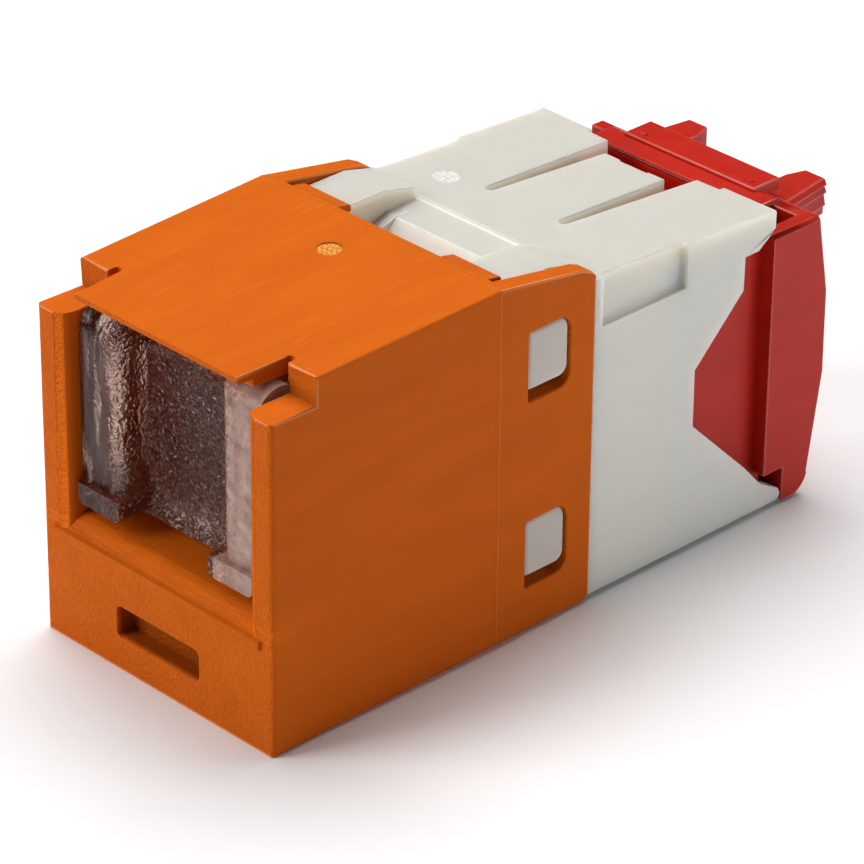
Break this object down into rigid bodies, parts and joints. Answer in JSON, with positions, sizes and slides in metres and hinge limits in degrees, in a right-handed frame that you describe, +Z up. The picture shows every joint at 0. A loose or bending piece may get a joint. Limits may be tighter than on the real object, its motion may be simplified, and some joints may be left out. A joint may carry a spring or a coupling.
{
  "type": "shuttered jack module",
  "caption": "Snap-in modular network jack: drafted front housing with a spring-loaded clear shutter, a jack body with latch lugs, sprung plug contacts and a pull-off wire termination cap.",
  "frame": {"origin": "midway along the module's length on the middle plane, on the flat underside", "axes": "+Y runs from the plug opening to the cable end, +Z is up towards the latch side, +X runs across to the right when looking into the plug opening"},
  "size_m": [0.0164, 0.0404, 0.0192],
  "materials": {
    "orange_plastic": "fine spark-eroded texture on the front, smoother roof and sides",
    "clear_plastic": "clear moulded polycarbonate with hammered and frosted panels",
    "white_plastic": "satin moulded, slightly warm white",
    "red_plastic": "satin moulded",
    "sled_plastic": "satin moulded",
    "block_plastic": "satin moulded",
    "board": "solder mask",
    "gold_plate": "gold plated contact wire",
    "tin_plate": "bright tin plated bronze",
    "spring_steel": "drawn spring wire"
  },
  "bodies": {
    "jack": {"front_housing": "orange_plastic", "jack_body": "white_plastic", "contact_sled": "sled_plastic", "circuit_board": "board", "contact_tails": "gold_plate", "idc_block": "block_plastic", "idc_contact_1": "tin_plate", "idc_contact_2": "tin_plate", "idc_contact_3": "tin_plate", "idc_contact_4": "tin_plate", "idc_contact_5": "tin_plate", "idc_contact_6": "tin_plate", "idc_contact_7": "tin_plate", "idc_contact_8": "tin_plate"},
    "shutter": {"shutter": "clear_plastic", "shutter_spring": "spring_steel"},
    "plug_contacts": {"plug_contact_1": "gold_plate", "plug_contact_2": "gold_plate", "plug_contact_3": "gold_plate", "plug_contact_4": "gold_plate", "plug_contact_5": "gold_plate", "plug_contact_6": "gold_plate", "plug_contact_7": "gold_plate", "plug_contact_8": "gold_plate"},
    "cap": {"termination_cap": "red_plastic"}
  },
  "joints": [
    {"name": "shutter_hinge", "type": "hinge", "parent": "jack", "child": "shutter", "pos_m": [0, -0.01765, 0.0163], "axis": [1, 0, 0], "range_deg": [0, 86], "stiffness_Nm_per_rad": 0.0006, "springref_deg": -34.38, "deforming": ["shutter_spring"]},
    {"name": "plug_contact_flex", "type": "hinge", "parent": "jack", "child": "plug_contacts", "pos_m": [0, -0.01411, 0.00601], "axis": [-1, 0, 0], "range_deg": [0, 10], "stiffness_Nm_per_rad": 0.12, "springref_deg": -17.19},
    {"name": "cap_pull_off", "type": "slide", "parent": "jack", "child": "cap", "axis": [0, 1, 0], "range_m": [0, 0.012]}
  ]
}
